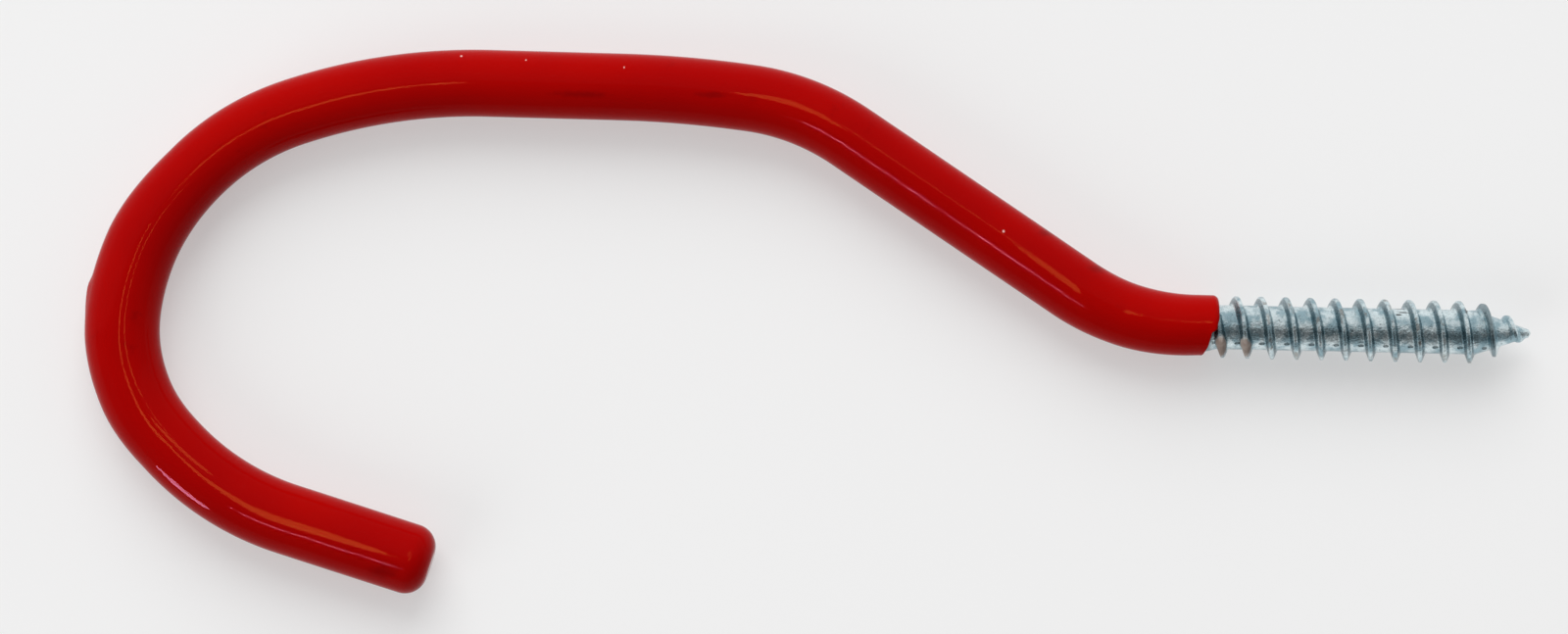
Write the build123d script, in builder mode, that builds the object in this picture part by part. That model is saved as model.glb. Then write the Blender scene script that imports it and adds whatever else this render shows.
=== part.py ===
from build123d import *
import os
from math import cos, radians, sin

# Screw-in bike hook: one bent steel rod with a rolled wood-screw thread, dipped in soft red vinyl.
# The hook lies flat in the XY plane. The screw's axis is the X axis and its point faces +X.
# The origin is on that axis, where the vinyl ends and the bare thread starts.
# Lengths are in millimetres and angles in degrees.

# Steel rod
rod_diameter = 6.35
rod_end_chamfer = 0.6

# Shape of the bent rod, in order from the screw: straight runs, radii of the rod's centreline,
# and the angles turned
neck_run = 3.0
neck_radius, neck_angle = 29.0, 33.0
ramp_run = 34.5
shoulder_radius, shoulder_angle = 30.5, 26.0
back_sweep_radius, back_sweep_angle = 146.0, 6.6
back_run = 17.0
bowl_entry_radius, bowl_entry_angle = 73.0, 20.0
bowl_side_radius, bowl_side_angle = 31.5, 62.0
bowl_floor_radius, bowl_floor_angle = 21.5, 51.8
bowl_exit_radius, bowl_exit_angle = 34.5, 29.8
tip_run = 17.9

# Rolled wood-screw thread with a gimlet point; its ridge climbs out of the root under the vinyl's rim
thread_diameter = 8.0
root_diameter = 5.67
thread_pitch = 3.175
screw_length = 40.2
point_length = 7.0
point_diameter = 0.5
crest_width = 0.38
ridge_base_width = 1.6
ridge_sink = 0.3
first_crest_x = 0.7
ridge_start_x = -0.9
crest_climb_length = 1.6
crest_taper_length = 7.9
crest_taper_power = 1.75
last_crest_gap = 0.9
neck_taper_length = 1.5
sections_per_turn = 8

# Vinyl film. It is even along the shank and along the tip. The dipped hook hung by its screw while
# the film set, so it drained off the neck and sagged in the bowl, towards the lowest point.
# Stations are (distance, film on the bowl's inner side, film on its outer side).
shank_film = 1.14
tip_film = 1.40
neck_stations = [(0, 0.45, 0.92), (12, 1.00, 0.95)]
sag_stations = [(-19, 1.10, 1.28), (-8, 0.95, 2.15), (4, 1.00, 2.28), (12, 1.15, 1.95)]
section_spacing = 6.0
tip_cap = 1.6
tip_round = 2.9
rim_round = 0.8

# Drop of vinyl that set where the dipped hook drained: its blunt end faces the neck
drop_before_drain = 1.2
drop_height, drop_depth = 0.3, 1.2
drop_blunt_length, drop_tail_length = 1.9, 4.6
drop_tail_slope = 0.4

# Where the rim is torn back beside the first crest of the thread, seen from above (X, Y)
torn_rim_corners = [
    (0.5, 1.5),
    (0.0, 1.5),
    (-0.3, -0.3),
    (-1.1, -0.95),
    (-1.3, -2.2),
    (-1.8, -3.3),
    (-2.1, -5.0),
    (0.5, -5.0),
]
torn_rim_bottom_z, torn_rim_height = -3.4, 8.4

rod_radius = rod_diameter / 2
root_radius = root_diameter / 2
thread_radius = thread_diameter / 2
point_radius = point_diameter / 2

# Each bend with the straight run that follows it; a positive angle turns towards the mouth
bends = [
    (neck_radius, -neck_angle, ramp_run),
    (shoulder_radius, shoulder_angle, 0),
    (back_sweep_radius, back_sweep_angle, back_run),
    (bowl_entry_radius, bowl_entry_angle, 0),
    (bowl_side_radius, bowl_side_angle, 0),
    (bowl_floor_radius, bowl_floor_angle, 0),
    (bowl_exit_radius, bowl_exit_angle, 0),
]


def hook_line(start_x, end_run):
    # The hook's centreline, from start_x on the screw's axis to end_run past the last bend
    with BuildLine() as line:
        last = Line((start_x, 0), (-neck_run, 0))
        for radius, angle, run in bends:
            last = JernArc(last @ 1, last % 1, radius, angle)
            if run:
                last = PolarLine(last @ 1, run, direction=last % 1)
        PolarLine(last @ 1, end_run, direction=last % 1)
    return line.wire()


def root_at(x):
    slope = (root_radius - point_radius) / point_length
    return root_radius - slope * max(0.0, x - (screw_length - point_length))


def crest_at(x):
    # The crest eases out of the root, runs level, and closes on the point
    share = min(1.0, max(0.0, (x - ridge_start_x) / crest_climb_length))
    climbing = root_radius + (thread_radius - root_radius) * share * share * (3 - 2 * share)
    share = max(0.0, (x - screw_length) / crest_taper_length + 1)
    closing = thread_radius - (thread_radius - point_radius) * share**crest_taper_power
    return max(min(climbing, thread_radius, closing), root_at(x) - ridge_sink / 2)


def thread_ridge(first_turn, last_turn):
    # A stretch of the ridge: trapezoids in half planes through the screw's axis, lofted along the helix
    steps = max(2, round((last_turn - first_turn) * sections_per_turn))
    with BuildPart() as ridge:
        for step in range(steps + 1):
            turn = first_turn + (last_turn - first_turn) * step / steps
            angle = radians(180 + 360 * turn)
            x = first_crest_x + thread_pitch * turn
            base_start, base_end = x - ridge_base_width / 2, x + ridge_base_width / 2
            with BuildSketch(Plane((0, 0, 0), x_dir=(1, 0, 0), z_dir=(0, -sin(angle), cos(angle)))):
                Polygon(
                    (base_start, root_at(base_start) - ridge_sink),
                    (x - crest_width / 2, crest_at(x)),
                    (x + crest_width / 2, crest_at(x)),
                    (base_end, root_at(base_end) - ridge_sink),
                    align=None,
                )
        loft()
    return ridge.part


def film_between(stations, distance):
    # Film on the inner and outer side at a distance, between the stations before and after it
    before, after = next(pair for pair in zip(stations, stations[1:]) if distance <= pair[1][0])
    share = (distance - before[0]) / (after[0] - before[0])
    return [thin + share * (thick - thin) for thin, thick in zip(before[1:], after[1:])]


def film_section(line, distance, inner, outer):
    # The coating's outline across the rod: a circle set off towards the side with the thicker film
    centre = line.position_at(distance, position_mode=PositionMode.LENGTH)
    along = line.tangent_at(distance, position_mode=PositionMode.LENGTH)
    with BuildSketch(Plane(centre, x_dir=along.cross(Vector(0, 0, 1)), z_dir=along)) as section:
        with Locations(((outer - inner) / 2, 0)):
            Circle(rod_radius + (inner + outer) / 2)
    return section.sketch


def uneven_film(line, stations):
    # A stretch of coating lofted through sections from the first station to the last
    start, end = stations[0][0], stations[-1][0]
    count = round((end - start) / section_spacing)
    distances = [start + (end - start) * index / count for index in range(count)] + [end]
    sections = [film_section(line, place, *film_between(stations, place)) for place in distances]
    loft(sections=sections)


with BuildPart() as rod:
    rod_line = hook_line(-neck_taper_length, tip_run)
    with BuildSketch(Plane(rod_line @ 0, z_dir=(-1, 0, 0))):
        Circle(rod_radius)
    sweep(path=rod_line)
    rod_end = rod.faces().filter_by(GeomType.PLANE).sort_by_distance(rod_line @ 1)[0]
    chamfer(rod_end.edges(), rod_end_chamfer)
    with BuildSketch(Plane.XY):
        Polygon(
            (-neck_taper_length, 0),
            (-neck_taper_length, rod_radius),
            (0, root_radius),
            (screw_length - point_length, root_radius),
            (screw_length, point_radius),
            (screw_length, 0),
            align=None,
        )
    revolve(axis=Axis.X)
    first_turn = (ridge_start_x - first_crest_x) / thread_pitch
    all_turns = (screw_length - last_crest_gap - ridge_start_x) / thread_pitch
    stretch = all_turns / round(all_turns)
    starts = [first_turn + stretch * index for index in range(round(all_turns))]
    add([thread_ridge(start, start + stretch) for start in starts])
rod.part.label = "steel_rod"

with BuildPart() as coating:
    coating_line = hook_line(0, tip_run + tip_cap - tip_round)
    edges = coating_line.edges()
    neck_end = sum(edge.length for edge in edges[:2])
    sag_start, drain_point, sag_end = (sum(edge.length for edge in edges[:last]) for last in (7, 8, 9))
    uneven_film(coating_line, [*neck_stations, (neck_end, shank_film, shank_film)])
    fillet(coating.faces().filter_by(GeomType.PLANE).sort_by_distance((0, 0, 0))[0].edges(), rim_round)
    sweep(film_section(coating_line, neck_end, shank_film, shank_film), path=Wire(edges[2:7]))
    sag = [(drain_point + place, inner, outer) for place, inner, outer in sag_stations]
    uneven_film(
        coating_line,
        [(sag_start, shank_film, shank_film), *sag, (sag_end, tip_film, tip_film)],
    )
    sweep(film_section(coating_line, sag_end, tip_film, tip_film), path=Wire(edges[9:]))
    with BuildSketch(Plane(coating_line @ 1, x_dir=coating_line % 1, z_dir=(0, 0, 1))):
        with BuildLine():
            Line((0, 0), (tip_round, 0))
            Line((tip_round, 0), (tip_round, rod_radius + tip_film - tip_round))
            CenterArc((0, rod_radius + tip_film - tip_round), tip_round, 0, 90)
            Line((0, rod_radius + tip_film), (0, 0))
        make_face()
    revolve(axis=Axis(coating_line @ 1, coating_line % 1))

    drop_at = drain_point - drop_before_drain
    along = coating_line.tangent_at(drop_at, position_mode=PositionMode.LENGTH)
    outwards = along.cross(Vector(0, 0, 1))
    seat = rod_radius + film_between(sag, drop_at)[1] - drop_depth
    drop_base = coating_line.position_at(drop_at, position_mode=PositionMode.LENGTH) + outwards * seat
    with BuildSketch(Plane(drop_base, x_dir=along, z_dir=(0, 0, 1))):
        with BuildLine():
            Spline(
                (-drop_blunt_length, 0),
                (0, -drop_depth - drop_height),
                (drop_tail_length, 0),
                tangents=[(0, -1), (1, drop_tail_slope)],
            )
            Line((drop_tail_length, 0), (-drop_blunt_length, 0))
        make_face()
    revolve(axis=Axis(drop_base, along))

    add(rod.part, mode=Mode.SUBTRACT)
    with BuildSketch(Plane.YZ):
        Circle(rod_radius)
    extrude(amount=-neck_taper_length, mode=Mode.SUBTRACT)
    with BuildSketch(Plane.XY.offset(torn_rim_bottom_z)):
        Polygon(*torn_rim_corners, align=None)
    extrude(amount=torn_rim_height, mode=Mode.SUBTRACT)
coating.part.label = "vinyl_coating"

os.makedirs("parts", exist_ok=True)
export_step(rod.part, "parts/steel_rod.step")
export_step(coating.part, "parts/vinyl_coating.step")
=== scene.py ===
from math import atan2, ceil, cos, degrees, pi, radians, sin, sqrt

import bmesh
import bpy
from mathutils import Matrix, Vector
from mathutils.noise import noise as smoothNoise


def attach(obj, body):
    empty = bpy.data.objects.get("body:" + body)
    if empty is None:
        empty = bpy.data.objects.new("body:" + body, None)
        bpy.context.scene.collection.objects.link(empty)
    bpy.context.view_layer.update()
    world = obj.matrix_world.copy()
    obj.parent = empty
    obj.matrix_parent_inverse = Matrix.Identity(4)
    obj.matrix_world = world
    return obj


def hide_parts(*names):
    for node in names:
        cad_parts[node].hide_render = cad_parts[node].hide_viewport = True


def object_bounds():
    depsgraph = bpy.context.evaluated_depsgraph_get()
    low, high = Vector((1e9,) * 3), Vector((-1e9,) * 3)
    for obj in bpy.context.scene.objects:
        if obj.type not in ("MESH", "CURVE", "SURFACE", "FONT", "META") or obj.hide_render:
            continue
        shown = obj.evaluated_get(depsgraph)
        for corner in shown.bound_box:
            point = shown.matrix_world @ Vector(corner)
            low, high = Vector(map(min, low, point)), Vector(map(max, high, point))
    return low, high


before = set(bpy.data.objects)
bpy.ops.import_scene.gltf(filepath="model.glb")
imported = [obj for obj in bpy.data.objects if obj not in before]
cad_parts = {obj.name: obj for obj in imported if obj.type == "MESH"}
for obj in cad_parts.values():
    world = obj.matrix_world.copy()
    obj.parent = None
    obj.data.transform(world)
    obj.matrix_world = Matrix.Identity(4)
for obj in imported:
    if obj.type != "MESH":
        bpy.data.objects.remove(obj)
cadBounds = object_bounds()

# Lengths are in metres: mm turns a length written in millimetres into one
mm = 0.001

# The rod and its bends, as they are in the frame: radius, angle turned, and the straight run after it
rod = {
    "radius": 3.175 * mm,
    "neckRun": 3.0 * mm,
    "tipRun": 17.9 * mm,
    "bends": [
        (29.0 * mm, -33.0, 34.5 * mm),
        (30.5 * mm, 26.0, 0.0),
        (146.0 * mm, 6.6, 17.0 * mm),
        (73.0 * mm, 20.0, 0.0),
        (31.5 * mm, 62.0, 0.0),
        (21.5 * mm, 51.8, 0.0),
        (34.5 * mm, 29.8, 0.0),
    ],
}


class Route:
    # The hook's centreline in the XY plane: where it is, and which way it runs, at a distance from the rim

    def __init__(self, endRun):
        self.stretches = [(0.0, rod["neckRun"], Vector((0, 0, 0)), pi, 0.0)]
        for radius, angle, run in rod["bends"]:
            turn = radians(angle)
            self.add(radius * abs(turn), turn / (radius * abs(turn)))
            if run:
                self.add(run, 0.0)
        # The vinyl drained towards the place where the last two bends start
        lastBends = sum(radius * abs(radians(angle)) for radius, angle, run in rod["bends"][-2:])
        self.drain = self.length - lastBends
        self.add(endRun, 0.0)

    @property
    def length(self):
        return self.stretches[-1][0] + self.stretches[-1][1]

    def add(self, length, curvature):
        place, heading = self.at(self.length)
        self.stretches.append((self.length, length, place, heading, curvature))

    def at(self, distance):
        start, length, place, heading, curvature = next(
            (s for s in self.stretches if distance <= s[0] + s[1]), self.stretches[-1]
        )
        run = distance - start
        turned = heading + curvature * run
        if curvature:
            across = Vector((sin(turned) - sin(heading), cos(heading) - cos(turned), 0)) / curvature
        else:
            across = run * Vector((cos(heading), sin(heading), 0))
        return place + across, turned


def eased(share):
    share = min(1.0, max(0.0, share))
    return share * share * (3 - 2 * share)


def between(stations, distance):
    # Values at a distance, half eased between the stations on either side
    before, after = stations[0], stations[-1]
    for first, second in zip(stations, stations[1:]):
        if first[0] <= distance <= second[0]:
            before, after = first, second
    share = (distance - before[0]) / max(after[0] - before[0], 1e-9)
    share = (share + eased(share)) / 2
    return [a + share * (b - a) for a, b in zip(before[1:], after[1:])]


def grow(mesh, ring, places):
    # Extrudes the last ring of a tube and puts the new ring's vertices at these places
    made = bmesh.ops.extrude_edge_only(mesh, edges=ring["edges"])["geom"]
    copies = {item for item in made if isinstance(item, bmesh.types.BMVert)}
    verts = []
    for vertex in ring["verts"]:
        ends = (edge.other_vert(vertex) for edge in vertex.link_edges)
        verts.append(next(end for end in ends if end in copies))
    known = set(verts)
    edges = [item for item in made if isinstance(item, bmesh.types.BMEdge) and set(item.verts) <= known]
    for vertex, place in zip(verts, places):
        vertex.co = place
    return {"verts": verts, "edges": edges}


def firstRing(mesh, places):
    made = bmesh.ops.create_circle(mesh, segments=len(places), radius=1.0)["verts"]
    for vertex, place in zip(made, places):
        vertex.co = place
    return {"verts": made, "edges": list({edge for vertex in made for edge in vertex.link_edges})}


def closed(mesh, ring):
    # Closes the tube's end with a fan of triangles around one vertex
    face = bmesh.ops.edgenet_fill(mesh, edges=ring["edges"])["faces"]
    bmesh.ops.poke(mesh, faces=face)


def finishedObject(name, mesh):
    bmesh.ops.recalc_face_normals(mesh, faces=mesh.faces)
    data = bpy.data.meshes.new(name)
    mesh.to_mesh(data)
    mesh.free()
    for polygon in data.polygons:
        polygon.use_smooth = True
    made = bpy.data.objects.new(name, data)
    bpy.context.scene.collection.objects.link(made)
    return made


# The dip coating: film between stations, a rounded cap, the drained drop and the torn rim.
# A station is a distance and the film on the inner and the outer side there, in millimetres
film = {
    "neck": [(0.0, 0.45, 0.92), (12.0, 1.00, 0.95), (19.7, 1.14, 1.14)],
    "sag": [
        (-34.1, 1.14, 1.14),
        (-19.0, 1.10, 1.28),
        (-8.0, 0.95, 2.15),
        (4.0, 1.00, 2.28),
        (12.0, 1.15, 1.95),
        (19.4, 1.40, 1.40),
        (60.0, 1.40, 1.40),
    ],
    "tipCap": 1.6 * mm,
    "tipRound": 2.9 * mm,
    "rimRound": 0.75 * mm,
    "tornLoss": 0.75,  # share of the rim's rounding that a tear takes away
    "tornReach": 0.6 * mm,  # how far back a tear takes all of that
    "boreClearance": 0.01 * mm,
    "boreLip": 0.3 * mm,
    "boreDepth": 2.0 * mm,
    "around": 128,
    "ringSpacing": 0.5 * mm,
    "rimSteps": 10,
    "blendSteps": 8,
    "capSteps": 14,
    "capRings": (0.6, 0.3, 0.1),
    "ripple": 0.02 * mm,
    "rippleLength": 14 * mm,
}
drop = {
    "beforeDrain": 1.2 * mm,
    "height": 0.3 * mm,
    "bluntLength": 1.5 * mm,
    "tailLength": 4.0 * mm,
    "halfAngle": radians(22),
}
# How far the rim is torn back, at angles round the screw's axis from the top of the photograph's view
tornRim = [
    (0.0, 0.0),
    (70.0, 0.05 * mm),
    (94.0, 0.35 * mm),
    (103.0, 1.05 * mm),
    (130.0, 1.35 * mm),
    (155.0, 1.75 * mm),
    (185.0, 2.0 * mm),
    (215.0, 1.5 * mm),
    (235.0, 0.25 * mm),
    (360.0, 0.0),
]


def makeCoating():
    route = Route(rod["tipRun"] + film["tipCap"])
    stations = [(place * mm, inner * mm, outer * mm) for place, inner, outer in film["neck"]]
    stations += [(route.drain + place * mm, inner * mm, outer * mm) for place, inner, outer in film["sag"]]
    angles = [2 * pi * index / film["around"] for index in range(film["around"])]

    def point(distance, angle, off):
        # Angle 0 is the hook's outer side and a quarter turn is up; off is the distance from the rod's axis
        centre, heading = route.at(distance)
        outwards = Vector((sin(heading), -cos(heading), 0))
        return centre + off * (cos(angle) * outwards + sin(angle) * Vector((0, 0, 1)))

    def outerOff(distance, angle):
        inner, outer = between(stations, distance)
        offset = (outer - inner) / 2
        radius = rod["radius"] + (inner + outer) / 2
        off = offset * cos(angle) + sqrt(radius**2 - (offset * sin(angle)) ** 2)
        side = atan2(sin(angle), cos(angle))
        run = distance - (route.drain - drop["beforeDrain"])
        length = drop["bluntLength"] if run < 0 else drop["tailLength"]
        bulge = eased(1 - abs(run) / length) * eased(1 - abs(side) / drop["halfAngle"])
        wave = Vector((distance, radius * cos(angle), radius * sin(angle))) / film["rippleLength"]
        return off + drop["height"] * bulge + film["ripple"] * smoothNoise(wave)

    def rimBack(angle):
        # The rim's angle runs from +Y over +Z, and the coating's from the outer side, which is +Y there
        return between(tornRim, degrees(angle) % 360)[0]

    def roundingAt(angle):
        # A torn edge is sharper than a clean one
        torn = min(1.0, rimBack(angle) / film["tornReach"])
        return film["rimRound"] * (1 - film["tornLoss"] * torn)

    mesh = bmesh.new()
    deep = film["boreDepth"] + max(back for angle, back in tornRim)
    inside = rod["radius"] + film["boreClearance"]
    # Bore, from inside the coating out to the rim
    boreEnd = firstRing(mesh, [point(deep, angle, inside) for angle in angles])
    ring = grow(mesh, boreEnd, [point(rimBack(a) + film["boreLip"], a, inside) for a in angles])
    # Round the rim
    for step in range(film["rimSteps"] + 1):
        turn = pi / 2 * step / film["rimSteps"]
        places = []
        for angle in angles:
            edge, rounding = rimBack(angle), roundingAt(angle)
            start = outerOff(edge + film["rimRound"], angle)
            low = max(inside, start - rounding)
            off = low + (start - low) * sin(turn)
            places.append(point(edge + rounding * (1 - cos(turn)), angle, off))
        ring = grow(mesh, ring, places)
    # From the torn rim to a level ring, along the hook, and over the cap
    for step in range(1, film["blendSteps"] + 1):
        places = []
        for angle in angles:
            near = rimBack(angle) + roundingAt(angle)
            distance = near + (deep - near) * (step / film["blendSteps"])
            places.append(point(distance, angle, outerOff(distance, angle)))
        ring = grow(mesh, ring, places)
    capStart = route.length - film["tipRound"]
    count = ceil((capStart - deep) / film["ringSpacing"])
    for step in range(1, count + 1):
        distance = deep + (capStart - deep) * step / count
        ring = grow(mesh, ring, [point(distance, angle, outerOff(distance, angle)) for angle in angles])
    for step in range(1, film["capSteps"] + 1):
        turn = pi / 2 * step / film["capSteps"]
        distance = capStart + film["tipRound"] * sin(turn)
        shrink = film["tipRound"] * (1 - cos(turn))
        places = [point(distance, angle, outerOff(capStart, angle) - shrink) for angle in angles]
        ring = grow(mesh, ring, places)
    flat = [outerOff(capStart, angle) - film["tipRound"] for angle in angles]
    for share in film["capRings"]:
        places = [point(route.length, angle, off * share) for angle, off in zip(angles, flat)]
        ring = grow(mesh, ring, places)
    closed(mesh, ring)
    closed(mesh, boreEnd)
    return finishedObject("dip_coating", mesh)


# The rod's bare end: a rolled thread whose ridge climbs out under the rim and closes on the point
screw = {
    "threadRadius": 4.0 * mm,
    "rootRadius": 2.835 * mm,
    "pitch": 3.175 * mm,
    "length": 40.2 * mm,
    "pointLength": 7.0 * mm,
    "pointRadius": 0.42 * mm,
    "crestWidth": 0.34 * mm,
    "baseWidth": 1.42 * mm,
    "firstCrest": 0.7 * mm,
    "ridgeStart": -0.9 * mm,
    "ridgeLead": 0.3 * mm,
    "climb": 1.3 * mm,
    "taperLength": 7.9 * mm,
    "taperPower": 1.75,
    "lastCrestGap": 0.9 * mm,
    "neckTaper": 1.5 * mm,
    "domeRings": (0.3, 0.6, 0.85),
    "domeDepth": 0.4 * mm,
    "domeLength": 0.25 * mm,
    "around": 160,
    "ringSpacing": 0.085 * mm,
    "shankStart": 0.5 * mm,
    "shankSpacing": 2.5 * mm,
    "dents": 0.03 * mm,
    "dentSize": 1.3 * mm,
    # Lumps on the first ridges: angle round the axis, reach, turn, and how much wider the ridge is there
    "lumps": [(127.0, 34.0, 0, 0.42 * mm), (132.0, 26.0, 1, 0.55 * mm)],
}


def makeRod():
    route = Route(rod["tipRun"])
    angles = [2 * pi * index / screw["around"] for index in range(screw["around"])]

    def rootAt(x):
        slope = (screw["rootRadius"] - screw["pointRadius"]) / screw["pointLength"]
        return screw["rootRadius"] - slope * max(0.0, x - (screw["length"] - screw["pointLength"]))

    def crestAt(x):
        climbing = eased((x - screw["ridgeStart"]) / screw["climb"])
        share = max(0.0, (x - screw["length"]) / screw["taperLength"] + 1)
        closing = screw["threadRadius"] - screw["threadRadius"] * share ** screw["taperPower"]
        low = rootAt(x)
        return max(low, min(low + (screw["threadRadius"] - low) * climbing, closing))

    def offAt(x, angle):
        # The crest passes angle pi, the bottom of the photograph's view, at firstCrest
        low = rootAt(x)
        if x < 0:
            tapered = max(0.0, 1 + x / screw["neckTaper"])
            low = rod["radius"] + (screw["rootRadius"] - rod["radius"]) * tapered
        turns = (x - screw["firstCrest"]) / screw["pitch"] - (angle - pi) / (2 * pi)
        nearest = round(turns)
        crestX = screw["firstCrest"] + screw["pitch"] * (nearest + (angle - pi) / (2 * pi))
        if not screw["ridgeStart"] - screw["ridgeLead"] < crestX < screw["length"] - screw["lastCrestGap"]:
            return low
        away = abs(x - crestX)
        half = screw["baseWidth"] / 2
        for middle, reach, turn, wider in screw["lumps"]:
            if nearest == turn:
                half += wider / 2 * eased(1 - abs(degrees(angle) - middle) / reach)
        share = (half - away) / (half - screw["crestWidth"] / 2)
        share = min(1.0, max(0.0, share))
        share = 0.45 * share + 0.55 * eased(share)  # flanks that are nearly straight
        onCrest = Vector((crestX, screw["threadRadius"] * cos(angle), screw["threadRadius"] * sin(angle)))
        nick = smoothNoise(onCrest / screw["dentSize"])
        height = crestAt(crestX) - low + screw["dents"] * nick
        return low + max(0.0, height) * share

    def around(x):
        return [Vector((x, offAt(x, a) * cos(a), offAt(x, a) * sin(a))) for a in angles]

    mesh = bmesh.new()
    # A small dome on the point
    end = screw["length"]
    flat, *domeRings = screw["domeRings"]
    ring = firstRing(mesh, [Vector((end, flat * p.y, flat * p.z)) for p in around(end)])
    closed(mesh, ring)
    for share in domeRings:
        x = end - (1 - sqrt(1 - share**2)) * screw["domeDepth"]
        ring = grow(mesh, ring, [Vector((x, share * p.y, share * p.z)) for p in around(end)])
    # Back along the thread to the neck
    steps = ceil((end + screw["neckTaper"]) / screw["ringSpacing"])
    for step in range(steps + 1):
        x = end - screw["domeLength"] - (end + screw["neckTaper"] - screw["domeLength"]) * step / steps
        ring = grow(mesh, ring, around(x))
    # Along the bends to the far end
    start = screw["neckTaper"] + screw["shankStart"]
    steps = ceil(route.length / screw["shankSpacing"])
    for step in range(steps + 1):
        centre, heading = route.at(start + (route.length - start) * step / steps)
        outwards = Vector((sin(heading), -cos(heading), 0))
        places = [centre + rod["radius"] * (cos(a) * outwards + sin(a) * Vector((0, 0, 1))) for a in angles]
        ring = grow(mesh, ring, places)
    closed(mesh, ring)
    return finishedObject("threaded_rod", mesh)


class Value:
    # A socket in a material, with arithmetic that adds nodes

    def __init__(self, look, socket):
        self.look = look
        self.socket = socket

    def maths(self, operation, *others):
        return self.look.node("ShaderNodeMath", dict(enumerate((self, *others))), operation=operation)

    def __add__(self, other):
        return self.maths("ADD", other)

    def __sub__(self, other):
        return self.maths("SUBTRACT", other)

    def __mul__(self, other):
        return self.maths("MULTIPLY", other)

    def __truediv__(self, other):
        return self.maths("DIVIDE", other)

    def __rsub__(self, other):
        return (self * -1) + other

    __radd__ = __add__
    __rmul__ = __mul__

    def atLeast(self, other):
        return self.maths("MAXIMUM", other)

    def smooth(self, low, high):
        # 0 below low, 1 above high, eased between; the other way round where low is above high
        inputs = {"Value": self, "From Min": min(low, high), "From Max": max(low, high)}
        if low > high:
            inputs.update({"To Min": 1.0, "To Max": 0.0})
        return self.look.node("ShaderNodeMapRange", inputs, interpolation_type="SMOOTHSTEP")


class Nodes:
    # A node tree of a material or the world, with its coordinates split into x, y and z

    def __init__(self, tree, coordinates, unit):
        self.tree = tree
        self.place = self.node("ShaderNodeTexCoord", {}, output=coordinates)
        parts = self.node("ShaderNodeSeparateXYZ", {"Vector": self.place}, output=None)
        self.x, self.y, self.z = (Value(self, parts.outputs[axis]) * (1 / unit) for axis in "XYZ")

    def node(self, kind, inputs, output=0, **settings):
        made = self.tree.nodes.new(kind)
        for name, value in settings.items():
            setattr(made, name, value)
        for key, value in inputs.items():
            if isinstance(value, Value):
                self.tree.links.new(value.socket, made.inputs[key])
            else:
                made.inputs[key].default_value = value
        return made if output is None else Value(self, made.outputs[output])

    def mixed(self, share, first, second):
        return self.node("ShaderNodeMix", {0: share, 6: first, 7: second}, output=2, data_type="RGBA")


class Look(Nodes):
    # One material: a Principled shader and the nodes that feed it, with places in millimetres

    def __init__(self, name):
        self.material = bpy.data.materials.new(name)
        self.material.use_nodes = True
        super().__init__(self.material.node_tree, "Object", mm)
        self.shader = self.tree.nodes["Principled BSDF"]

    def noise(self, size, detail=4.0, roughness=0.55, shift=0.0):
        # Mottling with spots of about this size in millimetres, as a value near 0.5
        scale = (1000 / size,) * 3
        scaled = self.node("ShaderNodeVectorMath", {0: self.place, 1: scale}, operation="MULTIPLY")
        moved = self.node("ShaderNodeVectorMath", {0: scaled, 1: (shift,) * 3}, operation="ADD")
        inputs = {"Vector": moved, "Scale": 1.0, "Detail": detail, "Roughness": roughness}
        return self.node("ShaderNodeTexNoise", inputs)

    def spot(self, x, y, sizeX, sizeY, soft=0.5, wobble=0.0):
        # 1 in an oval on the upper side and 0 outside it, with an edge that wobbles
        offX, offY = (self.x - x) / sizeX, (self.y - y) / sizeY
        away = (offX * offX + offY * offY).maths("POWER", 0.5) + wobble
        return away.smooth(1 + soft, 1 - soft) * self.z.smooth(-0.2, 0.2)

    def bump(self, height, distance):
        made = self.node("ShaderNodeBump", {"Height": height, "Distance": distance * mm, "Strength": 1.0})
        self.tree.links.new(made.socket, self.shader.inputs["Normal"])

    def set(self, **values):
        for name, value in values.items():
            socket = self.shader.inputs[name.replace("_", " ")]
            if isinstance(value, Value):
                self.tree.links.new(value.socket, socket)
            else:
                socket.default_value = value


# Glossy dipped vinyl, with a few dust specks and dark smudges (x, y, size along x, size along y)
vinyl = {
    "red": (0.355, 0.0015, 0.001, 1),
    "deepRed": (0.30, 0.001, 0.0015, 1),
    "smudge": (0.12, 0.001, 0.002, 1),
    "speck": (0.75, 0.45, 0.42, 1),
    "specks": [
        (-28.0, 11.65, 0.14, 0.16),
        (-97.8, 32.65, 0.13, 0.10),
        (-89.5, 32.3, 0.10, 0.08),
        (-76.9, 31.6, 0.07, 0.12),
    ],
    "smudges": [
        (-82.3, 28.0, 2.9, 0.35),
        (-65.6, 28.3, 1.8, 0.35),
        (-22.4, 11.6, 0.8, 0.4),
        (-15.8, 7.1, 1.0, 0.4),
        (-106.4, -33.4, 1.5, 0.8),
    ],
    "shine": {"IOR": 1.12, "Specular_Tint": (1.0, 0.5, 0.5, 1)},
    "waves": 0.012,
}


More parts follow.
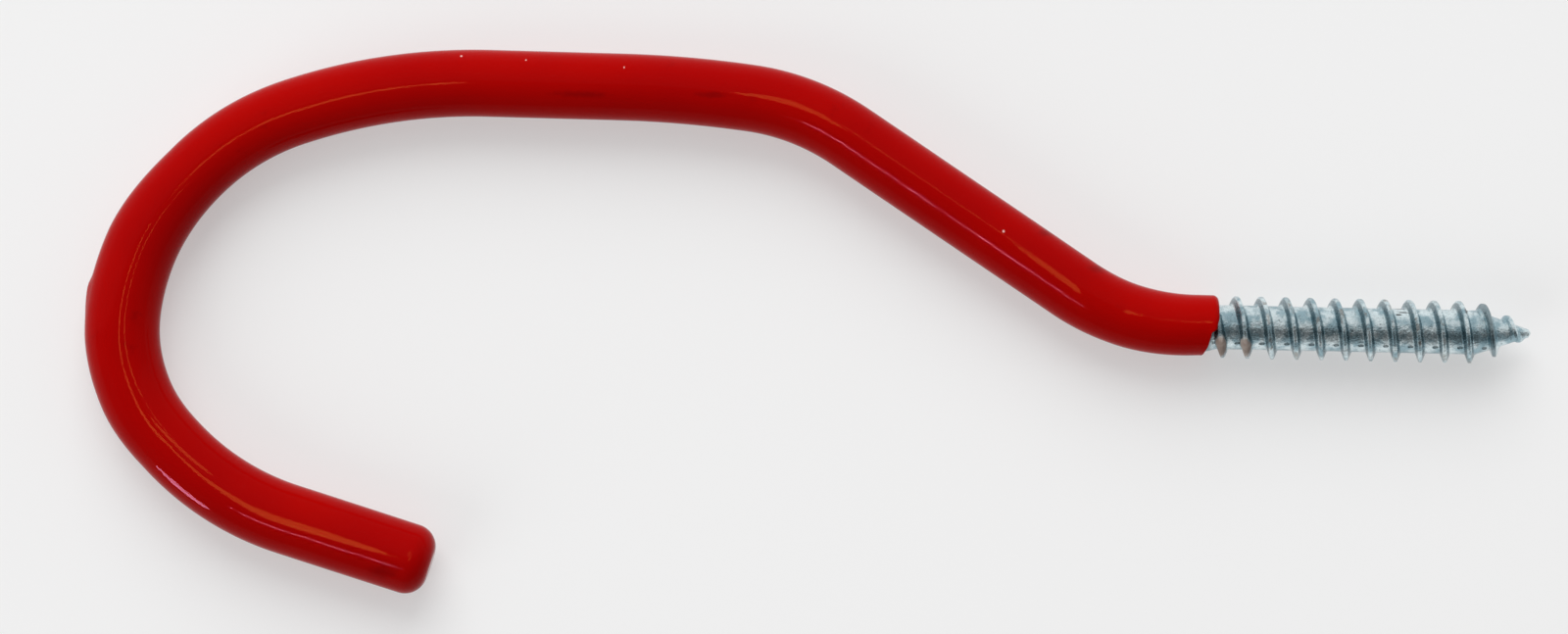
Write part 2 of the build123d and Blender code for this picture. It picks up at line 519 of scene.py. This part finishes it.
def redVinyl():
    look = Look("red vinyl")
    cloudy = look.noise(22, detail=3).smooth(0.35, 0.65)
    colour = look.mixed(cloudy * 0.5, vinyl["red"], vinyl["deepRed"])
    streaks = look.noise(3.0, detail=6, roughness=0.65, shift=7.0).smooth(0.58, 0.74)
    patches = look.noise(16, detail=2, shift=3.0).smooth(0.50, 0.64)
    colour = look.mixed(streaks * patches * 0.30, colour, vinyl["smudge"])
    wobble = (look.noise(0.9, detail=3, shift=6.0) - 0.5) * 1.6
    for x, y, sizeX, sizeY in vinyl["smudges"]:
        smudge = look.spot(x, y, sizeX, sizeY, soft=0.8, wobble=wobble) * 0.4
        colour = look.mixed(smudge, colour, vinyl["smudge"])
    for x, y, sizeX, sizeY in vinyl["specks"]:
        colour = look.mixed(look.spot(x, y, sizeX, sizeY), colour, vinyl["speck"])
    look.set(Base_Color=colour)
    look.set(Roughness=look.noise(6, detail=4, shift=2.0).smooth(0.3, 0.8) * 0.03 + 0.02)
    look.set(**vinyl["shine"])
    fine = look.noise(0.7, detail=3, shift=5.0)
    broad = look.noise(6.0, detail=2, shift=9.0)
    look.bump(fine * 0.05 + broad, vinyl["waves"])
    return look.material


# Bright zinc over rolled steel, with beige lumps, black scratches, the marks that the rolling left, and
# painted shade on the thread's flanks
zinc = {
    "bright": (0.78, 0.90, 0.93, 1),
    "blue": (0.34, 0.49, 0.55, 1),
    # Painted shade: a dark teal for the thread's flanks, standing in for the dark reflection they show
    "paintedFlankShade": (0.15, 0.22, 0.25, 1),
    "dark": (0.06, 0.09, 0.10, 1),
    "brown": (0.20, 0.15, 0.11, 1),
    "black": (0.012, 0.012, 0.014, 1),
    "lump": (0.40, 0.34, 0.30, 1),
    "darkLump": (0.26, 0.20, 0.17, 1),
    # Lumps and scratches: x, y, size along x, size along y
    "lumps": [(0.15, -2.5, 0.85, 1.35), (3.15, -2.6, 1.0, 1.25)],
    "scratches": [
        (23.2, 2.85, 0.75, 0.10),
        (23.6, 2.35, 0.65, 0.08),
        (23.0, 2.05, 0.35, 0.10),
        (31.6, 2.75, 0.3, 0.45),
    ],
    "rollMark": (5.54, -2.0, 0.32, 0.16),
    # How far off the axis the root ends, the flank starts and ends, and the crest and the lumps start
    "rootEnd": (3.05, 2.9),
    "flankStart": (2.95, 3.15),
    "flankEnd": (3.85, 3.65),
    "crestStart": (3.75, 3.95),
    "lumpStart": (3.05, 3.25),
    "relief": 0.17,
}


def zincPlate():
    look = Look("zinc plate")
    grain = look.noise(0.55, detail=5, roughness=0.7)
    patch = look.noise(1.9, detail=4, shift=4.0)
    colour = look.mixed(patch.smooth(0.38, 0.62), zinc["bright"], zinc["blue"])
    pits = look.noise(0.42, detail=4, roughness=0.75, shift=8.0).smooth(0.58, 0.70)
    colour = look.mixed(pits * 0.8, colour, zinc["dark"])
    off = (look.y * look.y + look.z * look.z).maths("POWER", 0.5)
    # Painted shade: the flanks between root and crest are darkened by radius, in place of their dark
    # reflection
    paintedFlankShade = off.smooth(*zinc["flankStart"]) * off.smooth(*zinc["flankEnd"])
    colour = look.mixed(paintedFlankShade * 0.8, colour, zinc["paintedFlankShade"])
    worn = look.noise(1.4, detail=4, shift=11.0).smooth(0.50, 0.66)
    colour = look.mixed(off.smooth(*zinc["crestStart"]) * worn * 0.6, colour, zinc["brown"])
    # The same small dent in every turn of the root
    pitch = screw["pitch"] / mm
    markX, markY, sizeX, sizeY = zinc["rollMark"]
    along = ((look.x - markX) / pitch).maths("FRACT").maths("PINGPONG", 0.5) * (pitch / sizeX)
    across = (look.y - markY) / sizeY
    dent = (along * along + across * across).smooth(1.6, 0.4)
    dent = dent * look.z.smooth(0.0, 0.4) * off.smooth(*zinc["rootEnd"])
    colour = look.mixed(dent * 0.75, colour, zinc["dark"])
    wobble = (look.noise(0.5, detail=3, shift=6.0) - 0.5) * 1.2
    marks = 0.0
    for x, y, sizeX, sizeY in zinc["scratches"]:
        marks = look.spot(x, y, sizeX, sizeY, soft=0.4, wobble=wobble).atLeast(marks)
    colour = look.mixed(marks, colour, zinc["black"])
    lumps = 0.0
    for x, y, sizeX, sizeY in zinc["lumps"]:
        lumps = look.spot(x, y, sizeX, sizeY, soft=0.25, wobble=wobble * 0.4).atLeast(lumps)
    lumps = lumps * off.smooth(*zinc["lumpStart"])
    lumpColour = look.mixed(patch.smooth(0.40, 0.60), zinc["lump"], zinc["darkLump"])
    colour = look.mixed(lumps, colour, lumpColour)
    look.set(Base_Color=colour, Metallic=(1 - lumps) * (1 - marks * 0.9))
    look.set(Roughness=(grain.smooth(0.3, 0.7) * 0.18 + 0.12).atLeast(lumps * 0.7))
    fine = look.noise(0.25, detail=2, shift=3.0)
    look.bump(grain * 0.7 + fine * 0.3 + dent * -1.5, zinc["relief"])
    return look.material


# A board that lets light through from below, so that shadows on it stay pale
board = {"colour": 0.47, "glow": 0.41, "halfWidth": 3.0, "gap": 0.05 * mm}


def paleFloor():
    look = Look("floor")
    look.set(Base_Color=(board["colour"],) * 3 + (1,), Roughness=0.9, IOR=1.1)
    look.set(Emission_Color=(1, 1, 1, 1), Emission_Strength=board["glow"])
    return look.material


def makeFloor(low):
    mesh = bmesh.new()
    bmesh.ops.create_grid(mesh, x_segments=1, y_segments=1, size=board["halfWidth"])
    bmesh.ops.translate(mesh, verts=mesh.verts, vec=(0, 0, low))
    floor = finishedObject("floor", mesh)
    floor.data.materials.append(paleFloor())


def areaLight(name, place, aim, along, width, height, watts, colour=(1, 1, 1), only=None):
    # The lamp's width runs along a direction. With only, it shows as a highlight on that object alone,
    # and without it the lamp lights everything and isn't mirrored
    data = bpy.data.lights.new(name, "AREA")
    data.shape = "ELLIPSE"
    data.size, data.size_y = width, height
    data.energy, data.color = watts, colour
    lamp = bpy.data.objects.new(name, data)
    back = (Vector(place) - Vector(aim)).normalized()
    across = (Vector(along) - Vector(along).project(back)).normalized()
    turned = Matrix((across, back.cross(across), back)).transposed()
    lamp.matrix_world = Matrix.Translation(place) @ turned.to_4x4()
    lamp.visible_camera = False
    if only:
        shown = bpy.data.collections.new(name)
        shown.objects.link(only)
        lamp.light_linking.receiver_collection = shown
        lamp.visible_diffuse = False
    else:
        lamp.visible_glossy = False
    bpy.context.scene.collection.objects.link(lamp)


camera = {
    "centre": (-55.8 * mm, 0.12 * mm),
    "height": 605 * mm,
    "roll": radians(1.2),
    "lens": 108.0,
    "sensor": 36.0,
    "clip": (0.01, 20.0),
}


def makeCamera():
    data = bpy.data.cameras.new("camera")
    data.lens, data.sensor_width = camera["lens"], camera["sensor"]
    data.clip_start, data.clip_end = camera["clip"]
    made = bpy.data.objects.new("camera", data)
    made.location = (*camera["centre"], camera["height"])
    made.rotation_euler = (0, 0, camera["roll"])
    bpy.context.scene.collection.objects.link(made)
    bpy.context.scene.camera = made


# The studio: a bright side behind the hook, a dark patch overhead on the near side, and a pale horizon.
# An edge is the height, or the reach to the bright side, over which one brightness gives way to another
studio = {
    "brightSide": (-0.15, 0.98),
    "bright": 0.70,
    "brightEdge": (0.08, 0.16),
    "dark": 0.09,
    "darkEdge": (0.60, 0.72),
    "low": 0.28,
    "horizon": 0.86,
    "horizonEdge": (0.22, 0.10),
    "pink": (1.0, 0.55, 0.90),
    "warm": (1.0, 0.60, 0.14),
}
# Lamps: name, place, what it faces, direction of its width, width, height and watts
level = (1, 0, 0)
softLamps = [
    ("key", (-0.29, 1.5, 1.3), (-0.055, 0, 0), level, 1.8, 1.8, 32.5),
    ("fill", (-1.48, -1.0, 0.96), (-0.055, 0, 0), level, 1.4, 1.4, 11.5),
]
pinkLamps = [
    ("line along the ramp", (-0.842, -1.513, 2.3), (-0.035, 0.01, 0), (-0.89, 0.46, 0), 0.62, 0.06, 20.0),
    ("patch on the bowl", (-0.330, -0.239, 0.040), (-0.125, -0.02, 0), (0.74, -0.67, 0), 0.075, 0.075, 0.85),
]
warmLamps = [
    ("leaf at the neck", (0.026, 0.013, 0.605), (-0.017, -0.002, 0), (0.88, -0.47, 0), 0.036, 0.24, 0.45),
    ("leaf at the shoulder", (-0.025, 0.145, 0.605), (-0.055, 0.026, 0), (0.95, -0.3, 0), 0.060, 0.18, 0.55),
    ("leaf at the tip", (-0.186, -0.075, 0.605), (-0.112, -0.031, 0), (0.94, -0.35, 0), 0.055, 0.23, 0.80),
    ("line on the ramp", (0.058, 0.154, 0.605), (-0.040, 0.014, 0), (-0.85, 0.53, 0), 0.088, 0.036, 0.11),
]


def makeLight(coating):
    world = bpy.data.worlds.new("studio")
    world.use_nodes = True
    sky = Nodes(world.node_tree, "Generated", 1.0)
    side = sky.x * studio["brightSide"][0] + sky.y * studio["brightSide"][1]
    overhead = sky.z.smooth(*studio["darkEdge"])
    strength = studio["low"] + (studio["dark"] - studio["low"]) * overhead
    strength = strength + (studio["bright"] - strength) * side.smooth(*studio["brightEdge"])
    strength = strength + (studio["horizon"] - strength) * sky.z.smooth(*studio["horizonEdge"])
    background = world.node_tree.nodes["Background"]
    background.inputs["Color"].default_value = (1, 1, 1, 1)
    world.node_tree.links.new(strength.socket, background.inputs["Strength"])
    bpy.context.scene.world = world
    for lamp in softLamps:
        areaLight(*lamp)
    for lamp in pinkLamps:
        areaLight(*lamp, colour=studio["pink"], only=coating)
    for lamp in warmLamps:
        areaLight(*lamp, colour=studio["warm"], only=coating)


print("coating")
coating = makeCoating()
coating.data.materials.append(redVinyl())
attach(coating, "root")
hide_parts("vinyl_coating")

print("rod")
threadedRod = makeRod()
threadedRod.data.materials.append(zincPlate())
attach(threadedRod, "root")
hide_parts("steel_rod")

print("stage")
makeFloor(cadBounds[0].z - board["gap"])
makeLight(coating)
makeCamera()
bpy.context.scene.view_settings.view_transform = "Standard"
